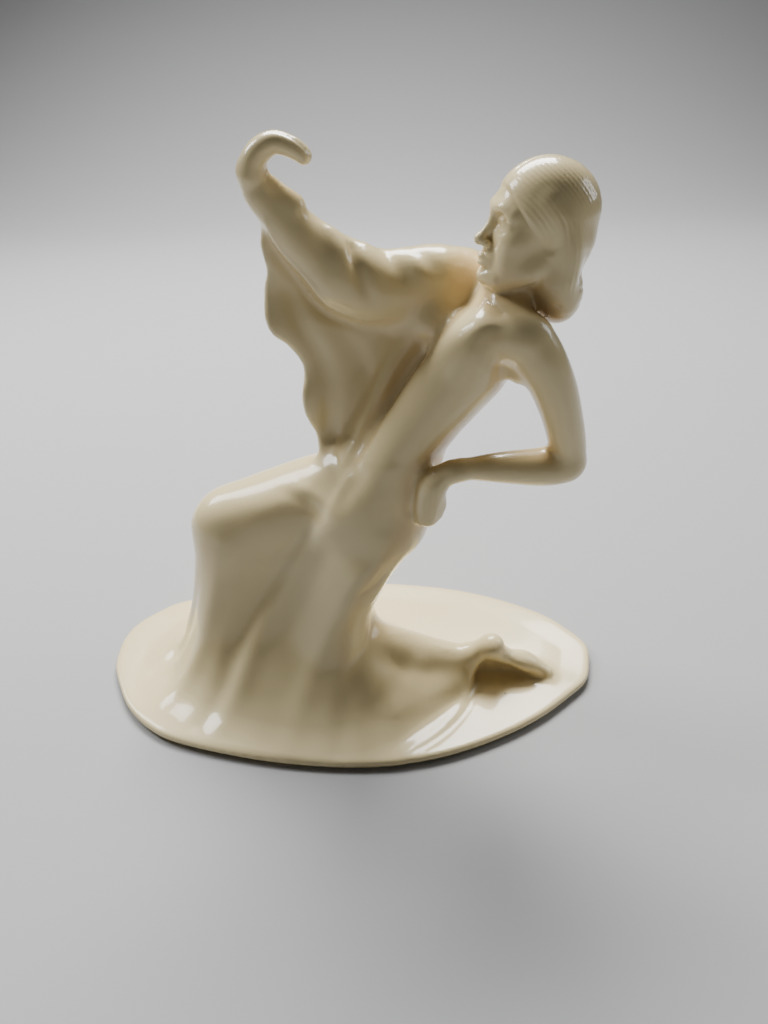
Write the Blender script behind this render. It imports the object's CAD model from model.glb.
import math
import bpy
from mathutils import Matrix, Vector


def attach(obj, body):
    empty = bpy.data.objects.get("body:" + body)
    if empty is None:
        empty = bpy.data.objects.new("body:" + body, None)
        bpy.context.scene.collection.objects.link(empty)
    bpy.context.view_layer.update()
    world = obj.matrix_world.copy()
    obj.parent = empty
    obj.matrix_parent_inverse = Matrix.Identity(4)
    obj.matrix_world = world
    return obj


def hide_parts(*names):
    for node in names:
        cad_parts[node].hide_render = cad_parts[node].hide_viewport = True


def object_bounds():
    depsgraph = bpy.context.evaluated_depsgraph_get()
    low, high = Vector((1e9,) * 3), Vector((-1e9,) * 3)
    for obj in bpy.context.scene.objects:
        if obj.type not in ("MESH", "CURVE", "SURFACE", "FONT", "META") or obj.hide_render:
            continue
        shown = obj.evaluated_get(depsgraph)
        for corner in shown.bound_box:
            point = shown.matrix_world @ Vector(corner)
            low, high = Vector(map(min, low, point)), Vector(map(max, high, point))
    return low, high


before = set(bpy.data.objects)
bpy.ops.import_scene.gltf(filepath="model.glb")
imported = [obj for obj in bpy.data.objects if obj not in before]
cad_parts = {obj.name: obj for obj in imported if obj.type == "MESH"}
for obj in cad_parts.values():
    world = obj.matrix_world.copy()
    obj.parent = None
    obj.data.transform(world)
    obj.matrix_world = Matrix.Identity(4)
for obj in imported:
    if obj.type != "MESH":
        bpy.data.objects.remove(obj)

from concurrent.futures import ThreadPoolExecutor

import bpy
import numpy as np

CAD_LOW, CAD_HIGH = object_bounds()

# The figurine is modelled as one clay-like body, in millimetres, by blending
# implicit forms, the way a modeller works up the original before it is cut
# into mould sections.  The skin is meshed once, refined on the face, hands and
# foot, and then cut into the cast sections, so the glaze runs over the joints.

CELL = 0.74
F4 = np.float32


# ------------------------------------------------------------ implicit tools
def smin(a, b, k):
    if k <= 0:
        return np.minimum(a, b)
    h = np.maximum(k - np.abs(a - b), 0) / k
    return np.minimum(a, b) - h * h * k * F4(0.25)


def smax(a, b, k):
    return -smin(-a, -b, k)


def spline(rows, n):
    """Catmull-Rom curve through rows of numbers, n steps to a span."""
    p = np.asarray(rows, float)
    if len(p) == 2:
        t = np.linspace(0, 1, n + 1)[:, None]
        return p[0] * (1 - t) + p[1] * t
    q = np.vstack([2 * p[0] - p[1], p, 2 * p[-1] - p[-2]])
    out = []
    t = np.linspace(0, 1, n, endpoint=False)[:, None]
    for p0, p1, p2, p3 in zip(q[:-3], q[1:-2], q[2:-1], q[3:]):
        out.append(0.5 * ((2 * p1) + (p2 - p0) * t + (2 * p0 - 5 * p1 + 4 * p2 - p3) * t * t
                          + (3 * p1 - p0 - 3 * p2 + p3) * t ** 3))
    out.append(p[-1:])
    return np.vstack(out)


def ring_spline(rows, n):
    p = np.asarray(rows, float)
    out = []
    t = np.linspace(0, 1, n, endpoint=False)[:, None]
    for i in range(len(p)):
        p0, p1, p2, p3 = p[i - 1], p[i], p[(i + 1) % len(p)], p[(i + 2) % len(p)]
        out.append(0.5 * ((2 * p1) + (p2 - p0) * t + (2 * p0 - 5 * p1 + 4 * p2 - p3) * t * t
                          + (3 * p1 - p0 - 3 * p2 + p3) * t ** 3))
    return np.vstack(out)


class Limb:
    """Round limb swept along a curve of (x, y, z, radius), may be flattened along an axis."""

    def __init__(s, group, rows, k=3.0, n=5, flat=None, op="add"):
        s.group, s.k, s.op, s.flat = group, k, op, flat
        s.q = spline(rows, n).astype(F4)
        m = s.q[:, 3].max() * (1.1 if flat is None else 1.1 * max(1, flat[1]))
        s.lo, s.hi = s.q[:, :3].min(0) - m, s.q[:, :3].max(0) + m

    def __call__(s, p):
        q = s.q
        if s.flat is not None:
            ax = np.asarray(s.flat[0], F4)
            ax = ax / np.linalg.norm(ax)
            g = F4(1 / s.flat[1] - 1)
            p = p + np.outer(p @ ax, ax) * g
            q = q.copy()
            q[:, :3] += np.outer(q[:, :3] @ ax, ax) * g
        best = None
        for a, b in zip(q[:-1], q[1:]):
            ab = b[:3] - a[:3]
            l2 = float(ab @ ab)
            if l2 < 1e-9:
                continue
            w = p - a[:3]
            t = np.clip(w @ ab / F4(l2), 0, 1)
            w = w - t[:, None] * ab
            d = np.sqrt(np.einsum("ij,ij->i", w, w)) - (a[3] + t * (b[3] - a[3]))
            best = d if best is None else np.minimum(best, d)
        if s.flat is not None and s.flat[1] < 1:
            best = best * F4(0.5 + 0.5 * s.flat[1])
        return best


class Ball:
    """Ellipsoid with its own axes (rows of turn)."""

    def __init__(s, group, centre, radii, turn=None, k=2.0, op="add"):
        s.group, s.k, s.op = group, k, op
        s.c, s.r = np.asarray(centre, F4), np.asarray(radii, F4)
        s.turn = np.eye(3, dtype=F4) if turn is None else np.asarray(turn, F4)
        m = float(max(radii))
        s.lo, s.hi = s.c - m, s.c + m

    def __call__(s, p):
        w = (p - s.c) @ s.turn.T
        q = w / s.r
        k0 = np.sqrt((q * q).sum(1))
        k1 = np.sqrt(((q / s.r) ** 2).sum(1))
        return k0 * (k0 - 1) / np.maximum(k1, 1e-6)


class Trunk:
    """Oval sections stacked along one direction: (x, y, z, half width, half depth, turn)."""

    def __init__(s, group, rows, k=3.0, cap=0.5):
        s.group, s.k, s.op, s.cap = group, k, "add", cap
        r = spline(rows, 12)
        a = r[-1, :3] - r[0, :3]
        s.axis = (a / np.linalg.norm(a)).astype(F4)
        s.t = (r[:, :3] - r[0, :3]) @ s.axis
        s.rows = r
        s.p0 = r[0, :3].astype(F4)
        m = r[:, 3:5].max()
        s.lo, s.hi = r[:, :3].min(0) - m, r[:, :3].max(0) + m

    def __call__(s, p):
        w = (p - s.p0) @ s.axis
        tc = np.clip(w, s.t[0], s.t[-1])
        cx, cy, cz, a, b, turn = (np.interp(tc, s.t, s.rows[:, i]).astype(F4) for i in range(6))
        turn = np.radians(turn)
        u = np.stack([np.sin(turn), np.cos(turn), np.zeros_like(turn)], 1)
        u -= np.outer(u @ s.axis, s.axis)
        u /= np.linalg.norm(u, axis=1)[:, None]
        v = np.cross(np.broadcast_to(s.axis, u.shape), u)
        q = p - np.stack([cx, cy, cz], 1)
        e = (w - tc) / (s.cap * np.minimum(a, b))
        lu = np.einsum("ij,ij->i", q, u) / a
        lv = np.einsum("ij,ij->i", q, v) / b
        k0 = np.sqrt(lu * lu + lv * lv + e * e)
        k1 = np.sqrt((lu / a) ** 2 + (lv / b) ** 2 + (e / (s.cap * np.minimum(a, b))) ** 2)
        return (k0 * (k0 - 1) / np.maximum(k1, 1e-5)).astype(F4)


class Gown:
    """Cloth falling to the plinth: level outlines, read as reach by direction and height."""

    def __init__(s, group, sections, k=4.0, soften=2):
        s.group, s.k, s.op = group, k, "add"
        z = np.array([h for h, _ in sections], float)
        cen, reach = [], []
        th = np.linspace(-np.pi, np.pi, 361)
        for _, outline in sections:
            o = ring_spline(outline, 8)
            c = np.array([(o[:, 0].max() + o[:, 0].min()) / 2, (o[:, 1].max() + o[:, 1].min()) / 2])
            cen.append(c)
            reach.append(o)
        cen = np.array(cen)
        table = []
        for c, o in zip(cen, reach):
            ang = np.arctan2(o[:, 1] - c[1], o[:, 0] - c[0])
            rad = np.hypot(o[:, 0] - c[0], o[:, 1] - c[1])
            i = np.argsort(ang)
            table.append(np.interp(th, ang[i], rad[i], period=2 * np.pi))
        table = np.array(table)
        dense = spline(np.column_stack([z, cen, table]), 14)
        s.z, s.cen = dense[:, 0], dense[:, 1:3]
        r = dense[:, 3:]
        for _ in range(soften * 3):
            r[:, 1:-1] = (r[:, :-2] + r[:, 1:-1] * 2 + r[:, 2:]) / 4
            r[:, 0] = r[:, -1] = (r[:, 1] + r[:, -2]) / 2
        s.zi = np.arange(s.z[0], s.z[-1] + 0.2, 0.25)
        s.r = np.stack([np.interp(s.zi, s.z, r[:, j]) for j in range(r.shape[1])], 1)
        s.cx, s.cy = np.interp(s.zi, s.z, s.cen[:, 0]), np.interp(s.zi, s.z, s.cen[:, 1])
        # how steeply the reach changes, to keep distances true
        dz = np.gradient(s.r, 0.25, axis=0)
        dt = np.gradient(s.r, np.radians(1), axis=1) / np.maximum(s.r, 3)
        s.g = np.sqrt(1 + dz ** 2 + dt ** 2)
        m = s.r.max()
        s.lo = np.array([s.cx.min() - m, s.cy.min() - m, s.zi[0]])
        s.hi = np.array([s.cx.max() + m, s.cy.max() + m, s.zi[-1]])

    def __call__(s, p):
        zc = np.clip(p[:, 2], s.zi[0], s.zi[-1] - 0.01)
        v = (zc - s.zi[0]) / 0.25
        j = np.minimum(v.astype(int), len(s.zi) - 2)
        v = (v - j).astype(F4)
        cx = s.cx[j] * (1 - v) + s.cx[j + 1] * v
        cy = s.cy[j] * (1 - v) + s.cy[j + 1] * v
        dx, dy = p[:, 0] - cx, p[:, 1] - cy
        u = (np.degrees(np.arctan2(dy, dx)) + 180)
        i = np.clip(u.astype(int), 0, 359)
        u = (u - i).astype(F4)

        def look(t):
            return ((t[j, i] * (1 - u) + t[j, i + 1] * u) * (1 - v)
                    + (t[j + 1, i] * (1 - u) + t[j + 1, i + 1] * u) * v)
        d = (np.hypot(dx, dy) - look(s.r)) / look(s.g)
        over = p[:, 2] - s.zi[-1]
        under = s.zi[0] - p[:, 2]
        return smax(smax(d, over, 2.0), under, 0.5).astype(F4)


class Sheet:
    """Cloth hanging as a thin curtain: an outline in x and z, carried at a depth y(x, z)."""

    def __init__(s, group, outline, depth, thick, k=1.5):
        s.group, s.k, s.op, s.depth, s.thick = group, k, "add", depth, thick
        o = ring_spline(outline, 6)
        s.o = o
        h = 0.4
        x = np.arange(o[:, 0].min() - 5, o[:, 0].max() + 5, h)
        z = np.arange(o[:, 1].min() - 5, o[:, 1].max() + 5, h)
        gx, gz = np.meshgrid(x, z, indexing="ij")
        s.x0, s.z0, s.h = x[0], z[0], h
        s.sd = outline_distance(o, gx, gz)
        s.lo = np.array([x[0] + 3, -14, z[0] + 3])
        s.hi = np.array([x[-1] - 3, 16, z[-1] - 3])

    def look(s, x, z):
        u = np.clip((x - s.x0) / s.h, 0, s.sd.shape[0] - 1.01)
        v = np.clip((z - s.z0) / s.h, 0, s.sd.shape[1] - 1.01)
        i, j = u.astype(int), v.astype(int)
        u, v, t = u - i, v - j, s.sd
        return (t[i, j] * (1 - u) + t[i + 1, j] * u) * (1 - v) + (t[i, j + 1] * (1 - u) + t[i + 1, j + 1] * u) * v

    def __call__(s, p):
        x, y, z = p[:, 0], p[:, 1], p[:, 2]
        e = 0.3
        y0 = s.depth(x, z)
        gx = (s.depth(x + e, z) - y0) / e
        gz = (s.depth(x, z + e) - y0) / e
        half = s.thick(x, z)
        slab = np.abs(y - y0) / np.sqrt(1 + gx * gx + gz * gz) - half
        edge = s.look(x, z) + half
        a, b = slab + half, edge
        d = np.sqrt(np.maximum(a, 0) ** 2 + np.maximum(b, 0) ** 2) + np.minimum(np.maximum(a, b), 0) - half
        return d.astype(F4)


class Plinth:
    """Oval slab with a soft rim, a foot ring set in below, a shallow recess and a vent."""

    def __init__(s, group, outline, top, k=3.0):
        s.group, s.k, s.op, s.top = group, k, "add", top
        o = ring_spline(outline, 6)
        h = 0.8
        x = np.arange(-74, 74.1, h)
        y = np.arange(-42, 42.1, h)
        gx, gy = np.meshgrid(x, y, indexing="ij")
        s.x0, s.y0, s.h = x[0], y[0], h
        s.sd = outline_distance(o, gx, gy)
        s.lo, s.hi = np.array([-70.0, -37.5, 0.0]), np.array([70.0, 37.5, 3.4])

    def look(s, x, y):
        u = np.clip((x - s.x0) / s.h, 0, s.sd.shape[0] - 1.01)
        v = np.clip((y - s.y0) / s.h, 0, s.sd.shape[1] - 1.01)
        i, j = u.astype(int), v.astype(int)
        u, v, t = u - i, v - j, s.sd
        return (t[i, j] * (1 - u) + t[i + 1, j] * u) * (1 - v) + (t[i, j + 1] * (1 - u) + t[i + 1, j + 1] * u) * v

    def __call__(s, p):
        e = s.look(p[:, 0], p[:, 1])
        z = p[:, 2]
        wave = 0.22 * np.sin(p[:, 0] * 0.055 + 0.8) * np.cos(p[:, 1] * 0.09 + 0.3) - 0.12
        top, low = s.top + wave * np.clip(-e / 8, 0, 1), 0.72
        mid, half = (top + low) / 2, (top - low) / 2
        r = 1.05
        a, b = e + r, np.abs(z - mid) - half + r
        slab = np.sqrt(np.maximum(a, 0) ** 2 + np.maximum(b, 0) ** 2) + np.minimum(np.maximum(a, b), 0) - r
        ring = np.maximum(e + 2.5, np.abs(z - 0.9) - 0.88)
        d = smin(slab, ring, 0.3)
        well = np.maximum(e + 8.0, z - 1.0)
        d = smax(d, -well, 0.3)
        vent = np.hypot(p[:, 0] + 8, p[:, 1] + 2) - 3.9
        lid = z - (s.top - 1.3)
        return smax(d, -np.maximum(vent, lid), 0.2).astype(F4)


class Under:
    """Takes away whatever hangs below a level, so that only the plinth reaches the table."""

    def __init__(s, level):
        s.group, s.k, s.op, s.level = None, 0.3, "cut", level
        s.lo, s.hi = np.array([-90.0, -60.0, -20.0]), np.array([90.0, 60.0, level])

    def __call__(s, p):
        return (p[:, 2] - s.level).astype(F4)


class Crease:
    """Raises (positive) or sinks (negative) the skin along a curve of (x, y, z, width, amount)."""

    def __init__(s, rows, n=4, sharp=2.0):
        s.group, s.k, s.op, s.sharp = None, 0.0, "mod", sharp
        s.q = spline(rows, n).astype(F4)
        m = s.q[:, 3].max() * 2.6
        s.lo, s.hi = s.q[:, :3].min(0) - m, s.q[:, :3].max(0) + m

    def __call__(s, p):
        best = np.full(len(p), 1e9, F4)
        wid = np.ones(len(p), F4)
        amt = np.zeros(len(p), F4)
        for a, b in zip(s.q[:-1], s.q[1:]):
            ab = b[:3] - a[:3]
            l2 = float(ab @ ab)
            if l2 < 1e-9:
                continue
            w = p - a[:3]
            t = np.clip(w @ ab / F4(l2), 0, 1)
            w = w - t[:, None] * ab
            d = np.einsum("ij,ij->i", w, w)
            m = d < best
            best = np.where(m, d, best)
            wid = np.where(m, a[3] + t * (b[3] - a[3]), wid)
            amt = np.where(m, a[4] + t * (b[4] - a[4]), amt)
        x = np.sqrt(best) / wid
        return (-amt * np.exp(-np.power(x, s.sharp))).astype(F4)


def outline_distance(o, gx, gy):
    """Signed distance to a closed outline, negative inside."""
    d = np.full(gx.shape, 1e18)
    ins = np.zeros(gx.shape, bool)
    for (ax, ay), (bx, by) in zip(o, np.roll(o, -1, 0)):
        ex, ey = bx - ax, by - ay
        l2 = ex * ex + ey * ey
        if l2 < 1e-12:
            continue
        wx, wy = gx - ax, gy - ay
        t = np.clip((wx * ex + wy * ey) / l2, 0, 1)
        d = np.minimum(d, (wx - t * ex) ** 2 + (wy - t * ey) ** 2)
        if ey != 0:
            ins ^= (((ay <= gy) & (by > gy)) | ((by <= gy) & (ay > gy))) & (gx < ax + wy * (ex / ey))
    return np.where(ins, -np.sqrt(d), np.sqrt(d))


class Clay:
    """All the forms together, in order."""

    def __init__(s, forms):
        s.forms = forms

    def __call__(s, p, reach=0.0):
        p = np.asarray(p, F4)
        if len(p) > 24000:      # share the work between the processor's cores
            parts = np.array_split(p, max(4, len(p) // 24000))
            with ThreadPoolExecutor(4) as pool:
                return np.concatenate(list(pool.map(lambda q: s(q, reach), parts)))
        f = np.full(len(p), 60, F4)
        for form in s.forms:
            m = form.k * 0.6 + 2.0 + reach
            i = np.nonzero(((p > form.lo - m) & (p < form.hi + m)).all(1))[0]
            if not len(i):
                continue
            d = form(p[i]).astype(F4)
            if form.op == "add":
                f[i] = smin(f[i], d, form.k)
            elif form.op == "cut":
                f[i] = smax(f[i], -d, form.k)
            else:
                f[i] = f[i] + d
        return f

    def owner(s, p, groups):
        """Which group's own form lies nearest the skin at each point."""
        p = np.asarray(p, F4)
        best = np.full(len(p), 1e9, F4)
        who = np.zeros(len(p), int)
        for form in s.forms:
            if form.op != "add" or form.group is None:
                continue
            i = np.nonzero(((p > form.lo - 6) & (p < form.hi + 6)).all(1))[0]
            if not len(i):
                continue
            d = form(p[i])
            m = d < best[i]
            best[i[m]] = d[m]
            who[i[m]] = groups.index(form.group)
        return who

    def grid(s, lo, hi, h, block=10):
        lo, hi = np.asarray(lo, float), np.asarray(hi, float)
        n = np.ceil((hi - lo) / h).astype(int) + 1
        out = np.full(tuple(n), 9, F4)
        nb = (n + block - 1) // block
        cb = np.stack(np.meshgrid(*[np.arange(m) for m in nb], indexing="ij"), -1).reshape(-1, 3)
        fc = s((lo + (cb * block + block / 2) * h).astype(F4), block * h)
        near = np.abs(fc) < block * h * 0.87 * 1.5 + 1.0
        for b in cb[(~near) & (fc < 0)]:
            out[tuple(slice(b[a] * block, (b[a] + 1) * block) for a in range(3))] = -9
        off = np.stack(np.meshgrid(*[np.arange(block)] * 3, indexing="ij"), -1).reshape(-1, 3)
        cb = cb[near]
        step = max(1, 1600000 // block ** 3)
        for i in range(0, len(cb), step):
            g = (cb[i:i + step, None, :] * block + off[None]).reshape(-1, 3)
            g = g[(g < n).all(1)]
            out[g[:, 0], g[:, 1], g[:, 2]] = s((lo + g * h).astype(F4))
        return out, lo

    def settle(s, v, rounds=2, eps=0.06, cap=0.35):
        """Slides points onto the skin."""
        v = np.array(v, float)
        e = np.eye(3) * eps
        for _ in range(rounds):
            f = s(v)
            i = np.nonzero(np.abs(f) > 0.004)[0]
            w, f = v[i], f[i]
            g = np.stack([(s(w + e[a]) - s(w - e[a])) / (2 * eps) for a in range(3)], 1)
            step = -(f / np.maximum((g * g).sum(1), 0.05))[:, None] * g
            size = np.linalg.norm(step, axis=1, keepdims=True)
            v[i] = w + step * np.minimum(1, cap / np.maximum(size, 1e-9))
        return v


def skin(f, lo, h):
    """Surface nets: one point to a crossed cell, one quad to a crossed edge."""
    s = f < 0
    nx, ny, nz = f.shape
    c = s[:-1, :-1, :-1].astype(np.int8)
    for dx, dy, dz in ((1, 0, 0), (0, 1, 0), (0, 0, 1), (1, 1, 0), (1, 0, 1), (0, 1, 1), (1, 1, 1)):
        c = c + s[dx:nx - 1 + dx, dy:ny - 1 + dy, dz:nz - 1 + dz]
    act = (c > 0) & (c < 8)
    ijk = np.stack(np.nonzero(act), 1)
    idx = -np.ones(act.shape, np.int64)
    idx[tuple(ijk.T)] = np.arange(len(ijk))
    acc, cnt = np.zeros((len(ijk), 3)), np.zeros(len(ijk))
    corners = [(a, b, d) for a in (0, 1) for b in (0, 1) for d in (0, 1)]
    val = {q: f[tuple((ijk + q).T)] for q in corners}
    for q in corners:
        for ax in range(3):
            if q[ax]:
                continue
            r = tuple(1 if n == ax else q[n] for n in range(3))
            a, b = val[q], val[r]
            m = (a < 0) != (b < 0)
            p = np.tile(np.array(q, float), (len(ijk), 1))
            p[:, ax] += np.where(m, a / np.where(m, a - b, 1), 0)
            acc += np.where(m[:, None], p, 0)
            cnt += m
    v = (acc / cnt[:, None] + ijk) * h + lo
    quads = []
    for ax in range(3):
        o, w = (ax + 1) % 3, (ax + 2) % 3
        s0, s1 = [slice(1, -1)] * 3, [slice(1, -1)] * 3
        s0[ax], s1[ax] = slice(0, -1), slice(1, None)
        a, b = s[tuple(s0)], s[tuple(s1)]
        m = a != b
        base = np.stack(np.nonzero(m), 1)
        base[:, o] += 1
        base[:, w] += 1
        e1, e2 = np.eye(3, dtype=int)[o], np.eye(3, dtype=int)[w]
        q = np.stack([idx[tuple((base - k).T)] for k in (e1 + e2, e2, 0 * e1, e1)], 1)
        flip = a[m]
        ok = (q >= 0).all(1)
        q, flip = q[ok], flip[ok]
        q[~flip] = q[~flip][:, ::-1]
        quads.append(q)
    return v, np.vstack(quads)


def refine(v, tri, pick):
    """Splits the picked triangles in four and their neighbours to match."""
    edges = np.sort(np.vstack([tri[:, [0, 1]], tri[:, [1, 2]], tri[:, [2, 0]]]), 1)
    key, inv = np.unique(edges, axis=0, return_inverse=True)
    inv = inv.reshape(-1)
    m = len(tri)
    e = np.stack([inv[:m], inv[m:2 * m], inv[2 * m:]], 1)
    split = np.zeros(len(key), bool)
    split[e[pick].ravel()] = True
    while True:     # a triangle with two split sides splits its third, to stay tidy
        n = split[e].sum(1)
        more = e[(n == 2)]
        before = split.sum()
        split[more.ravel()] = True
        if split.sum() == before:
            break
    mid = -np.ones(len(key), int)
    mid[split] = len(v) + np.arange(split.sum())
    v = np.vstack([v, (v[key[split, 0]] + v[key[split, 1]]) / 2])
    n = split[e].sum(1)
    out = [tri[n == 0]]
    t3, m3 = tri[n == 3], mid[e[n == 3]]
    out += [np.stack([t3[:, 0], m3[:, 0], m3[:, 2]], 1), np.stack([t3[:, 1], m3[:, 1], m3[:, 0]], 1),
            np.stack([t3[:, 2], m3[:, 2], m3[:, 1]], 1), m3]
    for k in range(3):
        sel = (n == 1) & split[e[:, k]]
        t, mk = tri[sel], mid[e[sel, k]]
        a, b, c = t[:, k], t[:, (k + 1) % 3], t[:, (k + 2) % 3]
        out += [np.stack([a, mk, c], 1), np.stack([mk, b, c], 1)]
    return v, np.vstack(out)


def relax(v, tri, rounds, lam=0.5, mu=-0.52, only=None):
    e = np.vstack([tri[:, [0, 1]], tri[:, [1, 2]], tri[:, [2, 0]]])
    e = np.unique(np.vstack([e, e[:, ::-1]]), axis=0)
    n = len(v)
    deg = np.maximum(np.bincount(e[:, 0], minlength=n), 1)[:, None]
    for _ in range(rounds):
        for f in (lam, mu):
            if f:
                s = np.stack([np.bincount(e[:, 0], weights=v[e[:, 1], a], minlength=n) for a in range(3)], 1)
                step = f * (s / deg - v)
                v = v + (step if only is None else step * only[:, None])
    return v


def point_normals(v, tri):
    fn = np.cross(v[tri[:, 1]] - v[tri[:, 0]], v[tri[:, 2]] - v[tri[:, 0]])
    n = np.stack([sum(np.bincount(tri[:, i], weights=fn[:, a], minlength=len(v)) for i in range(3))
                  for a in range(3)], 1)
    return n / np.maximum(np.linalg.norm(n, axis=1), 1e-12)[:, None]


# ------------------------------------------------------------ the figurine, in millimetres
GROUPS = ["base_plinth", "skirt_front", "skirt_train", "left_foot", "torso", "neck", "head", "hair_cap",
          "hair_roll", "left_upper_arm", "left_forearm", "left_hand", "right_sleeve_upper",
          "right_sleeve_forearm", "right_hand", "sleeve_drape"]

CENTRE_Y = 1.5      # the whole figurine is set back by this, over the middle of its box
PLINTH_OUTLINE = [
    (-68.3, -0.5), (-65.3, -7.4), (-60.5, -15.5), (-53.2, -22.3), (-44.3, -27.0),
    (-25.3, -32.4), (-12.2, -34.9), (0.4, -36.3), (13.0, -36.2), (25.7, -34.0),
    (39.1, -29.3), (50.6, -23.4), (60.3, -16.3), (65.7, -11.3), (68.2, -4.9),
    (69.0, 1.8), (65.2, 8.4), (58.9, 15.4), (47.6, 22.4), (35.3, 27.6),
    (22.2, 30.8), (8.0, 32.8), (-8.0, 33.3), (-24.0, 32.4), (-40.0, 30.2),
    (-55.0, 26.6), (-62.0, 21.8), (-66.8, 16.6), (-68.9, 10.8), (-69.0, 5.0)]

# level outlines of the falling skirt: thirteen points each, from the left, toward the viewer, and round
SKIRT = [
    (2.2, [(-55, 8), (-56, -4), (-51, -19), (-37, -28), (-16, -33), (3, -34), (15, -28),
           (17, -9), (15, 6), (8, 13), (-8, 19), (-26, 23), (-45, 20)]),
    (3.6, [(-52.5, 8), (-53, -3), (-47, -17), (-34, -26), (-15, -31.5), (2, -32), (13, -25),
           (15, -8), (14, 6), (8, 13), (-8, 18), (-26, 21.5), (-43, 18.5)]),
    (6.0, [(-49.5, 8), (-49, -3), (-43.5, -14), (-31, -21.5), (-15, -26), (0, -27), (10, -21),
           (13, -7), (12, 5), (7, 12), (-8, 17), (-26, 19.5), (-41, 17)]),
    (10.0, [(-47, 8), (-45.9, -3), (-39.7, -11.5), (-28.8, -16.5), (-14, -20), (-1, -22.5), (8.2, -17.5),
           (11.2, -6.5), (10.2, 4), (5.7, 11.5), (-8, 16), (-24.9, 18.5), (-39.2, 16)]),
    (17.0, [(-43.6, 8), (-42.2, -2), (-35.6, -8.5), (-25.3, -11), (-14.2, -14), (-1.2, -18), (5.6, -14),
           (8.1, -5.5), (7.6, 4), (3.7, 11), (-8, 15.5), (-24, 17.5), (-36.6, 15.5)]),
    (26.0, [(-41.3, 8), (-39.5, -1.5), (-32, -6), (-22.6, -7.5), (-12.5, -10.2), (-1.2, -15), (4.4, -12),
           (6.9, -5), (6.4, 4), (2.8, 11), (-8, 15), (-23.1, 16.8), (-35, 15)]),
    (36.0, [(-39.2, 7), (-37.1, 0), (-29.6, -4), (-20.9, -5.1), (-9, -8), (2, -13.5), (8.4, -11),
           (10.6, -4.5), (10.4, 4), (5.4, 11), (-6, 14.5), (-20.9, 16), (-33, 13.5)]),
    (44.0, [(-38.1, 7), (-35.7, 0.5), (-28.3, -3.6), (-18, -4.5), (-5, -7.9), (5.9, -13.5), (12.9, -10.5),
           (15.4, -4), (14.9, 4), (9.4, 11), (-2, 14.3), (-18, 15.8), (-31, 13)]),
    (50.0, [(-36.3, 7), (-33.5, 1.5), (-25.7, -2.6), (-14, -4.5), (-1, -7.9), (10.5, -13), (17, -10),
           (19.2, -4), (18.7, 4), (13, 11), (0, 13.8), (-15.5, 15), (-28.8, 12.5)]),
    (56.0, [(-27.9, 7), (-25.2, 2), (-19, -1.8), (-8, -4.2), (3.5, -8), (13, -12), (19, -8.8),
           (20.8, -3), (20.5, 4), (14.5, 10.5), (4, 13), (-8, 13.3), (-20.9, 12)]),
    (62.0, [(-13, 7), (-11, 3), (-7, -0.5), (-0.5, -4), (6.5, -8.6), (14, -10.6),
           (19.6, -8), (21.8, -3), (21.6, 4), (15.5, 9.8), (6.5, 11.6), (-2, 11.8), (-9, 10.6)]),
    (69.0, [(3, 5), (3.6, 1.5), (5.5, -1.5), (8, -4), (11, -6.8), (15.4, -8.3),
           (20.6, -6.6), (22.8, -2.6), (22.6, 3), (18, 7.4), (12, 8.6), (8, 8.4), (4.5, 7.2)])]

FORMS = []


def add(form):
    FORMS.append(form)
    return form


# plinth and skirt
add(Gown("skirt_front", SKIRT, k=4.5))
# the raised thigh under its lap of cloth, and the shin below the knee
add(Limb("skirt_front", [(11, 4, 55.0, 10.2), (-4, 6, 55.2, 9.4), (-17, 7, 52.0, 8.6), (-27.5, 7.2, 48.9, 7.6),
                         (-30.0, 7.2, 47.4, 7.2)], k=6))
add(Limb("skirt_front", [(-29.6, 7.4, 46.8, 7.2), (-31.5, 7.6, 34, 7.6), (-33.8, 7.8, 22, 8.0), (-37, 8, 12, 8.2)], k=6))
# the kneeling thigh
add(Limb("skirt_front", [(9.4, -4, 52, 8.3), (2.8, -5.5, 40, 7.7), (-3.2, -6, 26, 7.2), (-7, -6.5, 13, 7.6)], k=5))
# calf under the train, and the cloth drawn over it
add(Limb("skirt_train", [(2, -4.5, 13, 7.0), (12, -5.5, 11.2, 6.2), (22, -6.6, 9.4, 5.0), (29, -7.5, 8.9, 4.0),
                         (33.0, -7.8, 9.4, 3.3)], k=3.5))
add(Limb("skirt_train", [(6, -14, 6.0, 5.5), (16, -13.5, 4.6, 4.6), (25, -11.5, 4.0, 3.6), (31, -10, 4.2, 2.8)], k=6))
add(Limb("skirt_train", [(12, -22, 3.2, 3.6), (20, -18, 2.8, 3.2), (28, -13.5, 2.6, 2.6)], k=6))
# foot, sole up, toes resting on the plinth
add(Limb("left_foot", [(32.5, -7.7, 9.4, 2.9), (36.6, -7.8, 11.8, 3.0), (39.5, -8.0, 13.5, 3.15)], k=1.6))
add(Limb("left_foot", [(38.8, -7.9, 13.2, 2.8), (41.8, -8.0, 10.6, 2.3), (44.6, -8.0, 8.9, 1.95), (48.6, -8.0, 7.2, 2.55),
                       (52.4, -8.4, 5.1, 2.0), (55.0, -9.0, 3.9, 1.35)], k=1.2, flat=((0, 1, 0), 1.25)))
# the wall behind the arch, down to the plinth
add(Limb("left_foot", [(34.0, -5.2, 8.0, 3.0), (38.5, -4.8, 8.6, 3.0), (43.0, -5.0, 5.6, 2.4), (48.0, -5.6, 4.2, 2.0), (53.0, -7.4, 3.4, 1.3)],
         k=2.2))
add(Limb("skirt_train", [(33.0, -5.0, 4.6, 3.0), (40.0, -4.6, 4.4, 2.6), (46.0, -5.0, 3.4, 1.8)], k=2.5))

add(Under(1.8))
add(Plinth("base_plinth", PLINTH_OUTLINE, 3.0))

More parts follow.
